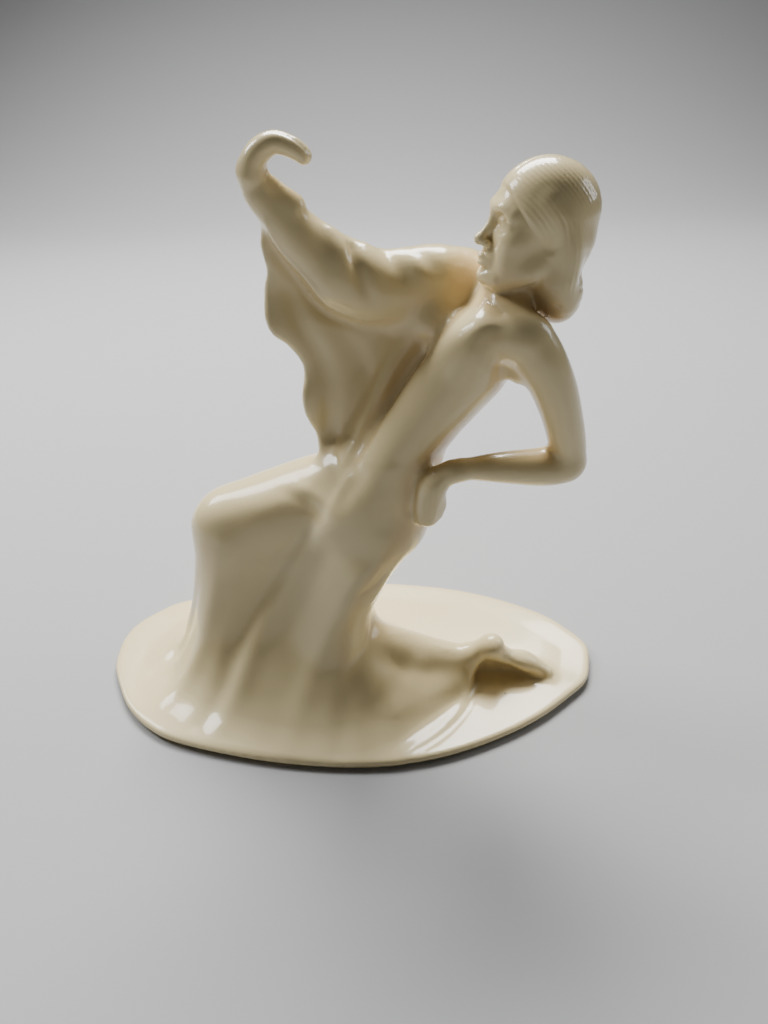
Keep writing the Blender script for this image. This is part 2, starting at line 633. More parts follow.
# torso
add(Trunk("torso", [
    (11.5, 0.5, 54.0, 12.4, 10.4, 8), (14.2, 0.2, 62.0, 11.4, 9.8, 14),
    (17.2, -0.6, 72.0, 9.2, 8.0, 20), (21.8, -1.2, 79.5, 9.4, 7.7, 24),
    (26.2, -1.6, 86.0, 10.6, 8.2, 26), (31.2, -1.4, 92.6, 12.8, 8.5, 27),
    (34.2, -0.9, 99.0, 14.8, 7.4, 27), (37.0, -0.4, 103.2, 14.2, 5.6, 27), (38.4, -0.4, 105.6, 9.5, 4.4, 27)], k=5))
add(Ball("torso", (29.6, -8.6, 98.0), (4.9, 4.6, 4.7), k=3.5))
add(Ball("torso", (25.0, 1.0, 101.0), (4.9, 4.6, 4.7), k=3.5))
add(Limb("torso", [(37.6, -11.5, 103.0, 4.2), (37.6, -4, 105.8, 3.8), (35.4, 3, 107.6, 3.9), (31, 9.5, 108.6, 4.6)], k=4))
add(Limb("torso", [(37.5, -7.5, 95.4, 3.0), (39.0, -8.8, 94.0, 2.2), (39.6, -9.4, 92.9, 1.4)], k=2.5))
add(Limb("neck", [(36.8, -1.2, 102.0, 6.0), (39.2, -1.7, 107.4, 4.8), (41.2, -2.2, 112.6, 4.5), (43.0, -2.8, 117.5, 4.8)], k=3))

# the arm set on the hip
add(Limb("left_upper_arm", [(41.0, -11.2, 101.2, 5.2), (44.1, -11.2, 96.5, 5.1), (47.5, -10.4, 90.0, 4.75),
                            (50.4, -9.0, 82.6, 4.35), (52.6, -7.2, 75.6, 4.2), (53.4, -6.4, 70.6, 4.3)], k=3.0))
add(Limb("left_forearm", [(52.6, -6.4, 69.6, 4.6), (50.2, -6.8, 69.3, 4.6), (45.6, -7.7, 69.6, 4.3), (37.6, -9.4, 70.8, 3.5),
                          (31.0, -11.0, 71.7, 2.6), (26.8, -12.2, 72.0, 2.1)], k=1.6))
add(Limb("left_hand", [(28.0, -12.1, 72.0, 2.1), (24.8, -12.3, 71.0, 2.6), (22.4, -12.2, 68.4, 3.3), (21.2, -12.0, 63.6, 3.3),
                       (20.9, -11.9, 60.2, 2.9)], k=2.2))
add(Limb("left_hand", [(23.0, -11.6, 66.4, 1.5), (24.0, -11.6, 63.0, 1.4), (23.6, -11.6, 60.4, 1.1)], k=1.6))
for x0, x1, w in ((18.9, 18.2, 0.5), (20.7, 20.2, 0.45), (22.3, 22.0, 0.4)):
    add(Crease([(x0, -15.4, 67.0, w, -0.05), (0.5 * (x0 + x1), -15.6, 63.5, w, -0.32), (x1, -15.0, 59.0, w, -0.4),
                (x1, -13.5, 57.4, w, -0.2)]))

# the raised arm in its wide sleeve
add(Limb("right_sleeve_upper", [(31.5, 9.0, 105.2, 7.2), (24.0, 7.8, 107.6, 7.9), (16.0, 6.8, 107.4, 7.4),
                                (8.6, 6.0, 108.4, 7.5), (3.4, 5.4, 111.0, 6.6)], k=3.5))
add(Limb("right_sleeve_forearm", [(3.6, 5.3, 111.2, 6.5), (-1.0, 4.7, 115.6, 5.7), (-5.2, 4.2, 120.2, 4.8),
                                  (-8.8, 3.6, 124.6, 3.9), (-10.9, 3.3, 127.2, 3.4)], k=2.5))
add(Limb("right_sleeve_forearm", [(-5.2, 3.0, 124.8, 2.8), (-7.3, 2.8, 127.2, 2.1), (-8.5, 2.6, 129.2, 1.35), (-9.0, 2.6, 130.2, 0.8)],
         k=1.2))
add(Limb("right_hand", [(-10.6, 3.3, 126.4, 2.8), (-11.9, 3.1, 129.0, 2.85), (-12.3, 2.9, 131.4, 2.75)], k=1.0))
add(Limb("right_hand", [(-12.25, 2.8, 131.0, 2.7), (-11.5, 2.5, 133.3, 2.55), (-9.8, 2.2, 135.2, 2.4), (-7.2, 2.0, 136.35, 2.15),
                        (-4.4, 2.0, 135.6, 2.0), (-2.6, 2.0, 134.5, 1.8), (-1.9, 2.0, 133.8, 1.6)], k=1.2, flat=((0, 1, 0), 1.3)))
# the parting of the fingers, on the back of the hand and below
for dy in (-1.25, 0.0, 1.25):
    add(Crease([(-10.6, 2.1 + dy, 137.3, 0.5, -0.02), (-8.2, 2.0 + dy, 138.5, 0.5, -0.12), (-5.0, 2.0 + dy, 137.7, 0.5, -0.16),
                (-2.0, 2.0 + dy, 135.4, 0.5, -0.16), (-1.0, 2.0 + dy, 133.4, 0.5, -0.14)]))
add(Crease([(-9.4, -0.8, 134.2, 0.5, -0.1), (-7.6, -0.7, 134.9, 0.45, -0.35), (-5.0, -0.5, 134.3, 0.45, -0.35),
            (-3.0, -0.2, 133.2, 0.45, -0.2)]))

# the sleeve's hanging cloth
DRAPE = [(-9.6, 121.5), (-12.3, 118.5), (-12.2, 115.0), (-11.8, 112.0), (-12.9, 108.0), (-13.3, 104.5), (-13.3, 101.5),
         (-12.1, 98.6), (-9.4, 96.2), (-7.4, 93.2), (-6.2, 90.4), (-6.3, 87.0), (-7.0, 83.5), (-6.9, 80.0), (-6.2, 76.5),
         (-4.8, 72.8), (-4.3, 68.5), (-3.6, 62.0), (6.0, 58.0), (16.0, 62.0), (24.0, 76.0), (30.0, 90.0), (32.0, 102.0),
         (22.0, 107.0), (8.0, 109.0), (-1.0, 114.0)]


def drape_depth(x, z):
    """The curtain bellies back in its middle and ripples toward its free edge."""
    s = np.clip((x + 13) / 40, 0, 1)
    back = 5.6 + 1.8 * np.sin(np.pi * np.clip(s, 0, 1)) - 1.2 * s
    free = np.exp(-np.maximum(x + 13 - (108 - z) * 0.16, 0) / 7.0)
    return back + free * 0.9 * np.sin(z * 0.36 + 0.4) - 0.5 * free


def drape_thick(x, z):
    return 1.25 + 0.5 * np.clip((x + 8) / 30, 0, 1)


add(Sheet("sleeve_drape", DRAPE, drape_depth, drape_thick, k=3.0))
# the bodice's cloth sweeping from the breast into the lap
add(Limb("sleeve_drape", [(20, 5.0, 99, 3.0), (13.5, 4.5, 88, 3.0), (8.0, 3.8, 76, 3.2), (2.0, 2.6, 65, 3.4)], k=6))
add(Limb("torso", [(27, -6.0, 93, 4.2), (20.5, -6.2, 84, 4.4), (14.5, -6.0, 74, 4.8), (9, -5.5, 64, 5.4), (2, -4.5, 54, 5.6)], k=6))

# ------------------------------------------------------------ head, its own axes: forward, left, up
HEAD = np.array([42.9, -3.0, 122.3])
HEAD_SIZE = 1.05
YAW, NOD = math.radians(9), math.radians(13)
FWD = np.array([-math.cos(YAW) * math.cos(NOD), -math.sin(YAW) * math.cos(NOD), math.sin(NOD)])
UPW = np.array([math.cos(YAW) * math.sin(NOD), math.sin(YAW) * math.sin(NOD), math.cos(NOD)])
LEFT = np.cross(UPW, FWD)
AXES = np.stack([FWD, LEFT, UPW])


def at(f, l, u):
    return HEAD + (FWD * f + LEFT * l + UPW * u) * HEAD_SIZE


def hrows(rows, side=1):
    return [tuple(at(r[0], r[1] * side, r[2])) + (r[3] * HEAD_SIZE,) + tuple(r[4:]) for r in rows]


def hball(group, c, r, k, op="add"):
    add(Ball(group, at(*c), np.array(r) * HEAD_SIZE, AXES, k, op))


hball("head", (0.2, 0, 1.0), (8.9, 7.5, 8.6), 2.5)
hball("head", (3.0, 0, -4.0), (5.5, 5.9, 8.2), 2.5)
for side in (1, -1):
    add(Limb("head", hrows([(-1.6, 4.9, -5.6, 2.2), (1.6, 4.5, -8.6, 2.2), (5.6, 2.2, -11.0, 2.1)], side), k=2.2))
    hball("head", (5.3, 3.9 * side, -4.0), (2.3, 2.1, 1.9), 2.2)
hball("head", (7.2, 0, -11.4), (1.9, 2.3, 1.7), 1.6)
for side in (1, -1):
    hball("head", (4.6, 3.6 * side, -7.0), (2.6, 1.9, 2.8), 2.2)
add(Limb("head", hrows([(7.0, -4.2, 0.2, 0.9), (8.2, -2.4, 0.75, 0.95), (8.5, 0, 0.35, 0.9), (8.2, 2.4, 0.75, 0.95),
                        (7.0, 4.2, 0.2, 0.9)]), k=2.0))
for side in (1, -1):
    hball("head", (9.3, 2.75 * side, -1.5), (1.7, 1.9, 1.25), 1.6, "cut")
    hball("head", (6.55, 2.9 * side, -1.75), (1.62, 1.75, 1.35), 0.3)
    add(Limb("head", hrows([(7.75, 1.2, -1.75, 0.2), (8.2, 2.1, -1.0, 0.34), (8.1, 3.2, -0.95, 0.36), (7.4, 4.2, -1.45, 0.3),
                            (6.8, 4.8, -1.95, 0.2)], side), k=0.7))
    add(Limb("head", hrows([(7.75, 1.3, -2.1, 0.16), (8.0, 2.4, -2.75, 0.22), (7.75, 3.5, -2.7, 0.22), (7.0, 4.5, -2.15, 0.16)],
                           side), k=0.6))
    add(Crease(hrows([(8.1, 1.5, -0.6, 0.3, -0.05), (8.6, 2.5, -0.05, 0.32, -0.2), (8.2, 3.6, -0.2, 0.32, -0.2),
                      (7.4, 4.5, -0.9, 0.3, -0.05)], side)))
add(Limb("head", hrows([(8.35, 0, 0.0, 0.75), (8.95, 0, -1.9, 0.72), (9.75, 0, -3.9, 0.82), (10.35, 0, -5.0, 0.95)]), k=1.1))
hball("head", (10.3, 0, -5.25), (1.05, 1.0, 0.9), 0.7)
for side in (1, -1):
    hball("head", (9.35, 1.05 * side, -5.6), (0.95, 0.72, 0.7), 0.5)
    hball("head", (9.75, 0.62 * side, -6.35), (0.42, 0.28, 0.3), 0.25, "cut")
hball("head", (7.55, 0, -7.9), (1.7, 2.5, 2.1), 1.2)
add(Limb("head", hrows([(7.75, -2.1, -8.62, 0.28), (8.85, -1.1, -8.25, 0.5), (9.35, -0.45, -7.98, 0.52), (9.3, 0, -8.08, 0.5),
                        (9.35, 0.45, -7.98, 0.52), (8.85, 1.1, -8.25, 0.5), (7.75, 2.1, -8.62, 0.28)]), k=0.45))
add(Limb("head", hrows([(7.75, -1.9, -8.85, 0.28), (8.75, -0.9, -9.08, 0.58), (9.05, 0, -9.14, 0.62), (8.75, 0.9, -9.08, 0.58),
                        (7.75, 1.9, -8.85, 0.28)]), k=0.45))
add(Crease(hrows([(7.5, -2.3, -8.68, 0.22, -0.05), (8.9, -1.1, -8.6, 0.22, -0.12), (9.4, 0, -8.62, 0.22, -0.12),
                  (8.9, 1.1, -8.6, 0.22, -0.12), (7.5, 2.3, -8.68, 0.22, -0.05)])))
add(Crease(hrows([(8.0, -1.3, -10.2, 0.6, -0.1), (8.6, 0, -10.25, 0.65, -0.28), (8.0, 1.3, -10.2, 0.6, -0.1)])))
for side in (1, -1):
    add(Limb("head", hrows([(-0.2, 6.6, -1.4, 0.5), (-1.2, 7.1, -0.4, 0.5), (-2.3, 7.2, -1.2, 0.5), (-2.4, 7.0, -3.0, 0.48),
                            (-1.4, 6.7, -4.7, 0.55), (-0.5, 6.4, -5.0, 0.5)], side), k=0.5))
    hball("head", (-1.1, 6.45 * side, -2.7), (1.2, 0.75, 1.9), 0.5)
    add(Crease(hrows([(-0.9, 7.1, -1.5, 0.45, -0.35), (-1.5, 7.15, -2.5, 0.5, -0.45), (-0.9, 6.9, -3.6, 0.45, -0.35)], side)))


class HairCap(Ball):
    """Sleek cap of hair, ending at a soft hairline from the brow to the nape."""

    def __call__(s, p):
        d = super().__call__(p)
        q = (p - HEAD.astype(F4)) @ AXES.T.astype(F4)
        line = -(-0.60 * q[:, 0] + 0.80 * q[:, 2] + 1.75 + 0.030 * q[:, 1] ** 2)
        comb = -0.65 * q[:, 0] + 0.75 * q[:, 2] + 0.5 * np.sin(q[:, 1] * 0.45)
        d = d + 0.03 * np.sin(comb * 7.4) * np.clip(np.abs(q[:, 1]) / 3, 0, 1)
        d = d + 0.16 * np.exp(-(q[:, 1] / 0.4) ** 2) * (q[:, 0] > -3)
        return smax(d, line.astype(F4), 0.7)


add(HairCap("hair_cap", at(-0.8, 0, 1.9), (10.35, 8.9, 9.3), AXES, 0.25))
add(Limb("hair_cap", [(48.2, -3.0, 118.6, 5.6), (47.4, -3.0, 114.6, 4.8)], k=1.6, flat=((0, 1, 0), 1.25)))
# the hair at the sides, drawn back over the ears to the roll at the nape
for side in (1, -1):
    add(Limb("hair_cap", hrows([(1.6, 5.9, 3.4, 2.0), (-1.8, 6.3, 1.0, 2.5), (-4.0, 6.3, -3.2, 2.7), (-5.2, 5.8, -7.6, 2.7),
                                (-5.8, 5.0, -11.0, 2.6)], side), k=1.6))
    for off in (-1.1, 0.0, 1.1):
        add(Crease(hrows([(0.6 + off, 8.0, 3.4, 0.3, -0.03), (-2.2 + off, 8.8, 0.8, 0.32, -0.2), (-4.2 + off, 9.0, -3.4, 0.32, -0.24),
                          (-5.2 + off, 8.4, -7.6, 0.32, -0.2), (-5.9 + off, 7.4, -11.0, 0.32, -0.08)], side)))
add(Ball("hair_roll", (47.6, -3.0, 108.5), (5.1, 7.2, 6.5), None, 1.1))
add(Ball("hair_roll", (45.6, -3.0, 111.5), (4.2, 7.2, 5.0), None, 2.5))
add(Crease([(45.5, -10.4, 113.1, 0.35, -0.16), (50.6, -8, 112.6, 0.35, -0.16), (52.9, -3, 112.2, 0.35, -0.16), (50.6, 2, 112.6, 0.35, -0.16), (45.5, 4.4, 113.1, 0.35, -0.16)]))
add(Crease([(45.5, -10.4, 110.5, 0.35, -0.2), (50.6, -8, 110, 0.35, -0.2), (52.9, -3, 109.6, 0.35, -0.2), (50.6, 2, 110, 0.35, -0.2), (45.5, 4.4, 110.5, 0.35, -0.2)]))
add(Crease([(45.5, -10.4, 107.7, 0.35, -0.2), (50.6, -8, 107.2, 0.35, -0.2), (52.9, -3, 106.8, 0.35, -0.2), (50.6, 2, 107.2, 0.35, -0.2), (45.5, 4.4, 107.7, 0.35, -0.2)]))
add(Crease([(45.5, -10.4, 105.3, 0.35, -0.12), (50.6, -8, 104.8, 0.35, -0.12), (52.9, -3, 104.4, 0.35, -0.12), (50.6, 2, 104.8, 0.35, -0.12), (45.5, 4.4, 105.3, 0.35, -0.12)]))
# the plain far side: long falling folds, and the pull of the cloth under the sleeve
for rows in (
        [(6, 12, 54, 2.6, 0.2), (0, 14, 44, 3.0, 0.7), (-5, 15, 30, 3.2, 0.9), (-9, 15.8, 16, 3.2, 0.9), (-12, 17, 6, 3.0, 0.4)],
        [(0, 13, 54, 2.2, -0.2), (-7, 14.6, 44, 2.6, -0.7), (-13, 15.8, 30, 2.8, -0.9), (-18, 17, 16, 2.8, -0.8),
         (-22, 18, 6, 2.6, -0.3)],
        [(-10, 14, 53, 2.4, 0.2), (-16, 15.5, 44, 2.8, 0.7), (-21, 16.5, 30, 3.0, 0.9), (-26, 17.6, 16, 3.0, 0.8),
         (-31, 19, 6, 2.8, 0.3)],
        [(-20, 14.8, 50, 2.2, -0.2), (-26, 15.2, 40, 2.6, -0.6), (-30, 15.2, 26, 2.8, -0.8), (-34, 16, 12, 2.6, -0.5)],
        [(10, 8, 40, 2.2, 0.2), (6, 9.6, 30, 2.6, 0.6), (3.5, 11, 18, 2.8, 0.7), (4, 12.4, 8, 2.8, 0.3)],
        [(20, 10.5, 103, 1.8, -0.2), (12, 10, 94, 2.0, -0.6), (5, 9.5, 84, 2.0, -0.6), (0, 8.5, 73, 1.8, -0.3)],
        [(11, 10.5, 101, 1.6, 0.2), (4, 9.5, 94, 2.0, 0.6), (-2, 8.6, 85, 2.0, 0.6), (-4, 7.8, 76, 1.6, 0.3)],
        [(13, 13.6, 111, 1.4, 0.2), (15, 14.2, 106.5, 1.6, 0.55), (18.5, 13, 102, 1.6, 0.3)],
        [(7, 12.6, 113, 1.2, -0.2), (9.5, 13.4, 107.5, 1.5, -0.55), (13.5, 12, 102.5, 1.5, -0.3)],
        [(2, 11.4, 115, 1.2, 0.2), (4.5, 12.2, 109.5, 1.5, 0.5), (8, 11, 104.5, 1.5, 0.2)]):
    add(Crease(rows))
# folds of the cloth: curves of (x, y, z, width, amount)
FOLDS = [
    [(3.8, -10.1, 63.8, 2.2, 0.3), (-6.2, -6.8, 48.7, 3, 0.8), (-15.1, -6.7, 34.4, 3.4, 1.1),
     (-24.4, -9.6, 19.9, 3.6, 1.2), (-29.5, -16.8, 9.6, 3.6, 1.1), (-32.5, -23.9, 4.8, 3.2, 0.5)],
    [(-3.7, -6.8, 58.4, 2, -0.2), (-13.9, -5.3, 44.7, 2.6, -0.8), (-22.7, -6.3, 30, 3, -1.2),
     (-29.2, -10, 17.5, 3, -1.3), (-33.2, -16.1, 9, 3, -1.1), (-38, -23.2, 4.2, 2.8, -0.4)],
    [(-30, -3.3, 47, 2.6, 0.2), (-35, -3.9, 29.4, 3, 0.7), (-40.5, -6.8, 14.1, 3.2, 1),
     (-46.6, -12.1, 5.2, 3.2, 0.9), (-51.7, -17.2, 3.3, 2.8, 0.3)],
    [(-38, 0.1, 36.5, 1.8, -0.1), (-43.6, 1.2, 18.6, 2.2, -0.6), (-50, 1.6, 6, 2.4, -1),
     (-55.5, -4.1, 3.3, 2.2, -0.4)],
    [(8.3, -14, 49.1, 2.6, 0.2), (1.4, -14.6, 36.7, 3, 0.6), (-6.1, -15.7, 20.9, 3.4, 0.8),
     (-11.7, -21.4, 9.3, 3.6, 0.8), (-14.7, -30.6, 4.3, 3.4, 0.3)],
    [(13, -10.5, 42.3, 2.2, -0.2), (6.9, -6.3, 22.7, 2.6, -0.7), (1.9, -17.5, 16.5, 3, -0.9),
     (-0.7, -25.1, 7.4, 3.2, -0.8), (-2, -33.1, 3.8, 3, -0.3)],
    [(18.9, -11.8, 11.9, 2.6, 0.4), (15.8, -19.5, 7.8, 3, 0.6), (11.3, -28, 4.4, 3, 0.3)],
    [(34.2, -11.5, 8.6, 0.9, 0.23), (31.6, -16.6, 3.3, 1.1, 0.27), (24.6, -25.6, 2.8, 1.3, 0.25),
     (13.8, -33.7, 3, 1.3, 0.14)],
    [(36.4, -8.7, 3.9, 0.9, -0.16), (33.1, -18.4, 2.9, 1, -0.2), (25.7, -27.9, 2.8, 1.1, -0.18),
     (15, -35.8, 2.6, 1.1, -0.08)],
    [(16.5, -12.3, 51, 0.8, 0.25), (7.9, -12.7, 36.3, 1, 0.5), (3.8, -14.5, 35.1, 1, 0.1)],
    [(14.8, -13.5, 52.6, 0.8, -0.2), (11.1, -13.2, 44.6, 0.9, -0.45), (6, -14.4, 39.8, 1, -0.45),
     (2.5, -14.7, 38, 1, -0.1)],
    [(13.6, -13.7, 54.6, 0.9, 0.1), (8.7, -14.2, 46.8, 1, 0.35), (2.7, -14.4, 41.6, 1.2, 0.1)],
    [(-1.7, -8.1, 59.2, 1.2, 0.2), (0.4, -7, 63, 1.1, 0.8), (2.7, -6.1, 66.7, 1, 1), (4.2, -6, 68.8, 0.9, 0.4)],
    [(0.7, -10.1, 59.4, 1.2, -0.07), (2.8, -9.3, 63.8, 1.2, -0.42), (5.3, -9, 67.9, 1.2, -0.49),
     (7.3, -9.2, 71.1, 1.2, -0.14)],
    [(4.4, -5.5, 69.6, 1.76, -0.42), (9.9, -1.9, 78.6, 1.92, -0.49), (15.6, 0.8, 88.3, 1.92, -0.42),
     (21, -1, 97.6, 1.92, -0.35), (23.9, -3.8, 102.3, 1.92, -0.14)],
    [(2.2, -1.9, 69.1, 1.2, 0.4), (7.1, 0.9, 78.6, 1.3, 0.55), (12.5, 1.3, 88.6, 1.3, 0.5),
     (17.5, 1.2, 97.4, 1.2, 0.1)],
    [(0, 0.9, 69.5, 1.2, -0.3), (4.3, 3.5, 78.7, 1.3, -0.5), (9.4, 3.3, 88.6, 1.3, -0.45),
     (14, 3, 96.8, 1.2, -0.1)],
    [(-11.1, 0.2, 62.2, 1.6, 0.1), (-4.6, -4, 61.2, 1.6, 0.45), (0.2, -9.9, 59.2, 1.6, 0.1)],
    [(-13.7, -0.7, 60.6, 1.6, -0.1), (-7.7, -4.1, 59.1, 1.6, -0.4), (-2.8, -8.7, 56.2, 1.6, -0.1)],
    [(6.3, 2.1, 117, 1.1, -0.75), (7, -0.4, 114.1, 1.3, -0.83), (8.1, -1.4, 110.3, 1.4, -0.58),
     (10.4, -1, 105.8, 1.4, -0.12)],
    [(9.1, 5.2, 116.3, 2.1, 0.61), (10.2, 0.4, 113.2, 2.38, 0.61), (12.1, -1.1, 108.7, 2.38, 0.2)],
    [(13.2, 5.1, 115, 1.43, -0.48), (15.6, 1.5, 112.7, 1.82, -0.48), (18.7, -0.1, 109.8, 1.95, -0.14)],
    [(16.6, 6.9, 114.8, 2.1, 0.51), (18.9, 2.1, 113.2, 2.4, 0.51), (22.1, 0.3, 110.8, 2.4, 0.11)],
    [(20.2, 4.1, 114.7, 1.54, -0.36), (22.5, 1.6, 112.8, 1.82, -0.36), (25.8, 0.8, 110.9, 1.96, -0.06)],
    [(2.8, 3.5, 119.7, 2.1, 0.55), (3.8, 0.3, 116.9, 2.4, 0.55), (5, -1.5, 112.7, 2.4, 0.19)],
    [(-0.2, 3.2, 122.1, 1.8, -0.26), (0.9, 0.4, 118.9, 2.1, -0.26), (1.9, -1.1, 115, 2.1, -0.04)],
    [(-3.4, 0.7, 123.8, 2.1, 0.18), (-2.5, -0.1, 120.7, 2.4, 0.18), (-1.6, -0.9, 117, 2.4, 0.06)],
    [(-9, 1.7, 130.7, 1, -0.1), (-7.6, 1.1, 129, 1.4, -0.5), (-6, 0.6, 127, 1, -0.1)],
    [(-10.2, 0.4, 122.7, 0.7, 0.3), (-8.3, 1.7, 117.5, 0.7, 0.55), (-4.5, 1.2, 112.8, 0.7, 0.6),
     (-1.1, 0.5, 108.4, 0.7, 0.6), (1.1, 1.9, 105.1, 0.7, 0.55), (4.1, 1.7, 103.6, 0.8, 0.45),
     (8.5, 2.3, 101.7, 0.9, 0.2)],
    [(-10.8, 2.7, 119.9, 0.9, -0.2), (-9, 3.8, 115.1, 1, -0.5), (-5.9, 4.8, 110, 1, -0.6),
     (-2.8, 5, 104.9, 1, -0.6), (-0.2, 5.1, 102.1, 1, -0.5), (3.2, 5.1, 100.5, 1, -0.4), (7.5, 5, 99, 1, -0.1)],
    [(-9.8, 4.3, 112.7, 2.16, 0.24), (-10.2, 4.8, 105.9, 2.4, 0.48), (-8.3, 4, 98.3, 2.4, 0.56),
     (-4.3, 5.3, 89, 2.4, 0.48), (-4.6, 4.4, 79.8, 2.4, 0.48), (-3.1, 3.5, 68.1, 2.4, 0.24)],
    [(-7.5, 5.1, 107.4, 1.92, -0.24), (-6.3, 4.4, 101, 2.16, -0.48), (-3, 5.2, 93.8, 2.16, -0.56),
     (-1, 5, 84, 2.16, -0.48), (-1.3, 5.3, 74, 2.16, -0.48), (0, 0, 68.7, 1.92, -0.16)],
    [(-2.4, 4.9, 100.7, 2.16, 0.24), (1, 5.3, 93.5, 2.4, 0.4), (3.1, 5.1, 83.8, 2.4, 0.4),
     (1.6, 2.5, 72.6, 2.16, 0.16)],
    [(3.7, 5.2, 98.1, 1.92, -0.16), (7.2, 5.1, 91.1, 2.16, -0.36), (7.8, 2.4, 83.4, 2.16, -0.36),
     (4.1, -0.2, 72.7, 1.92, -0.16)],
    [(12.2, -5.8, 17.6, 1.2, 0.08), (17.6, -5.2, 15.9, 1.1, 0.18), (22.5, -6.2, 14.4, 1.1, 0.04),
     (26.7, -8.2, 13.2, 1.1, 0.2), (31.1, -8.7, 12.7, 1, 0.08)],
    [(38.4, -13.9, 106.7, 1.2, 0.04), (34.6, -13.5, 106, 1.3, 0.16), (31.1, -14.1, 104.7, 1.4, 0.16),
     (28.5, -14.2, 102.2, 1.3, 0.04)],
    [(36.7, -15.3, 104.9, 1.3, -0.04), (33.4, -14.7, 103.8, 1.5, -0.14), (30.4, -14.7, 101.9, 1.4, -0.04)],
]
for rows in FOLDS:
    add(Crease(rows)).fold = True

CLAY = Clay(FORMS)


# ------------------------------------------------------------ skin the clay and cut it into its sections
def largest_patches(tri, who, count):
    """Gives every stray patch of a section to the section that surrounds it."""
    nt = len(tri)
    edges = np.sort(np.vstack([tri[:, [0, 1]], tri[:, [1, 2]], tri[:, [2, 0]]]), 1)
    order = np.lexsort((edges[:, 1], edges[:, 0]))
    es = edges[order]
    same = (es[1:] == es[:-1]).all(1)
    i = np.nonzero(same)[0]
    pair = np.stack([order[i] % nt, order[i + 1] % nt], 1)
    for _ in range(4):
        label = np.arange(nt)
        inner = pair[who[pair[:, 0]] == who[pair[:, 1]]]
        while True:
            new = label.copy()
            low = np.minimum(label[inner[:, 0]], label[inner[:, 1]])
            np.minimum.at(new, inner[:, 0], low)
            np.minimum.at(new, inner[:, 1], low)
            new = new[new]
            new = new[new]
            if (new == label).all():
                break
            label = new
        changed = False
        keep = np.zeros(nt, bool)
        for g in range(count):
            sel = np.nonzero(who == g)[0]
            if not len(sel):
                continue
            ids, n = np.unique(label[sel], return_counts=True)
            keep[sel[label[sel] == ids[n.argmax()]]] = True
        if keep.all():
            break
        for _ in range(400):
            a, b = pair[:, 0], pair[:, 1]
            m = keep[a] & ~keep[b]
            who[b[m]] = who[a[m]]
            keep[b[m]] = True
            m = keep[b] & ~keep[a]
            who[a[m]] = who[b[m]]
            keep[a[m]] = True
            changed = True
            if keep.all():
                break
    return who


def make_skin():
    f, lo = CLAY.grid((-71, -39, -0.9), (71, 39, 141), CELL)
    v, quads = skin(f, lo, CELL)
    tri = np.vstack([quads[:, [0, 1, 2]], quads[:, [0, 2, 3]]])
    v = relax(v, tri, 2, 0.4, -0.42)
    v = CLAY.settle(v, 2)
    # keep only the one body, in case a sliver floats free
    lab = np.arange(len(v))
    e = np.vstack([tri[:, [0, 1]], tri[:, [1, 2]]])
    while True:
        new = lab.copy()
        low = np.minimum(lab[e[:, 0]], lab[e[:, 1]])
        np.minimum.at(new, e[:, 0], low)
        np.minimum.at(new, e[:, 1], low)
        new = new[new]
        if (new == lab).all():
            break
        lab = new
    ids, n = np.unique(lab, return_counts=True)
    tri = tri[lab[tri[:, 0]] == ids[n.argmax()]]
    used, inv = np.unique(tri, return_inverse=True)
    v, tri = v[used], inv.reshape(-1, 3)
    fine = {"left_foot": 1, "head": 1, "hair_cap": 1, "hair_roll": 1, "left_hand": 1, "right_hand": 1}
    for level in range(2):
        mid = v[tri].mean(1)
        who = CLAY.owner(mid, GROUPS)
        pick = np.isin(who, [GROUPS.index(g) for g in fine])
        if level == 1:
            q = (mid - HEAD) @ AXES.T
            pick = (who == GROUPS.index("head")) & (q[:, 0] > 3.5) & (q[:, 2] < 3) & (q[:, 2] > -12.5)
        v, tri = refine(v, tri, pick)
        v = CLAY.settle(v, 2)
    v = relax(v, tri, 1, 0.3, -0.31)
    # the cloth runs smoothly from the bodice into the skirt, so the waist is rubbed down
    who = CLAY.owner(v, GROUPS)
    ease = np.exp(-((v[:, 0] - 12) / 10) ** 2 - ((v[:, 2] - 58) / 11) ** 2) * np.clip(-v[:, 1] / 2, 0, 1)
    ease[(who == GROUPS.index("left_hand")) | (who == GROUPS.index("left_forearm"))] = 0
    ease[(v[:, 0] > 17) & (v[:, 1] < -8.5)] = 0
    v = relax(v, tri, 26, 0.5, 0, ease)
    return v, tri


def occlusion(v, n):
    """0 in deep hollows, 1 on open skin, read from the clay along the normal."""
    total = np.zeros(len(v))
    weight = 0
    for d, w in ((0.7, 0.3), (1.6, 0.5), (3.2, 0.9), (6.0, 1.0), (10.0, 0.8)):
        f = CLAY(v + n * d)
        total += w * np.clip(f / d, 0, 1)
        weight += w
    return total / weight


def thickness(v, n):
    """How soon the clay ends behind the skin: 0 thick, 1 thin."""
    out = np.zeros(len(v))
    for d in (1.5, 3.0, 5.0):
        out += np.clip((CLAY(v - n * d) + d) / d, 0, 1)
    return out / 3


def wall_edge(v, tri, n, thin):
    """Turns the skin in at a cut, so a section shows the thickness of its cast wall."""
    e = np.vstack([tri[:, [0, 1]], tri[:, [1, 2]], tri[:, [2, 0]]])
    key = e[:, 0] * len(v) + e[:, 1]
    back = e[:, 1] * len(v) + e[:, 0]
    rim = e[~np.isin(key, back)]
    ids = np.unique(rim)
    place = -np.ones(len(v), int)
    place[ids] = len(v) + np.arange(len(ids))
    depth = 0.9 * (1 - 0.6 * thin[ids])
    extra = v[ids] - n[ids] * depth[:, None]
    a, b = rim[:, 0], rim[:, 1]
    lids = np.vstack([np.stack([b, a, place[a]], 1), np.stack([b, place[a], place[b]], 1)])
    return extra, lids


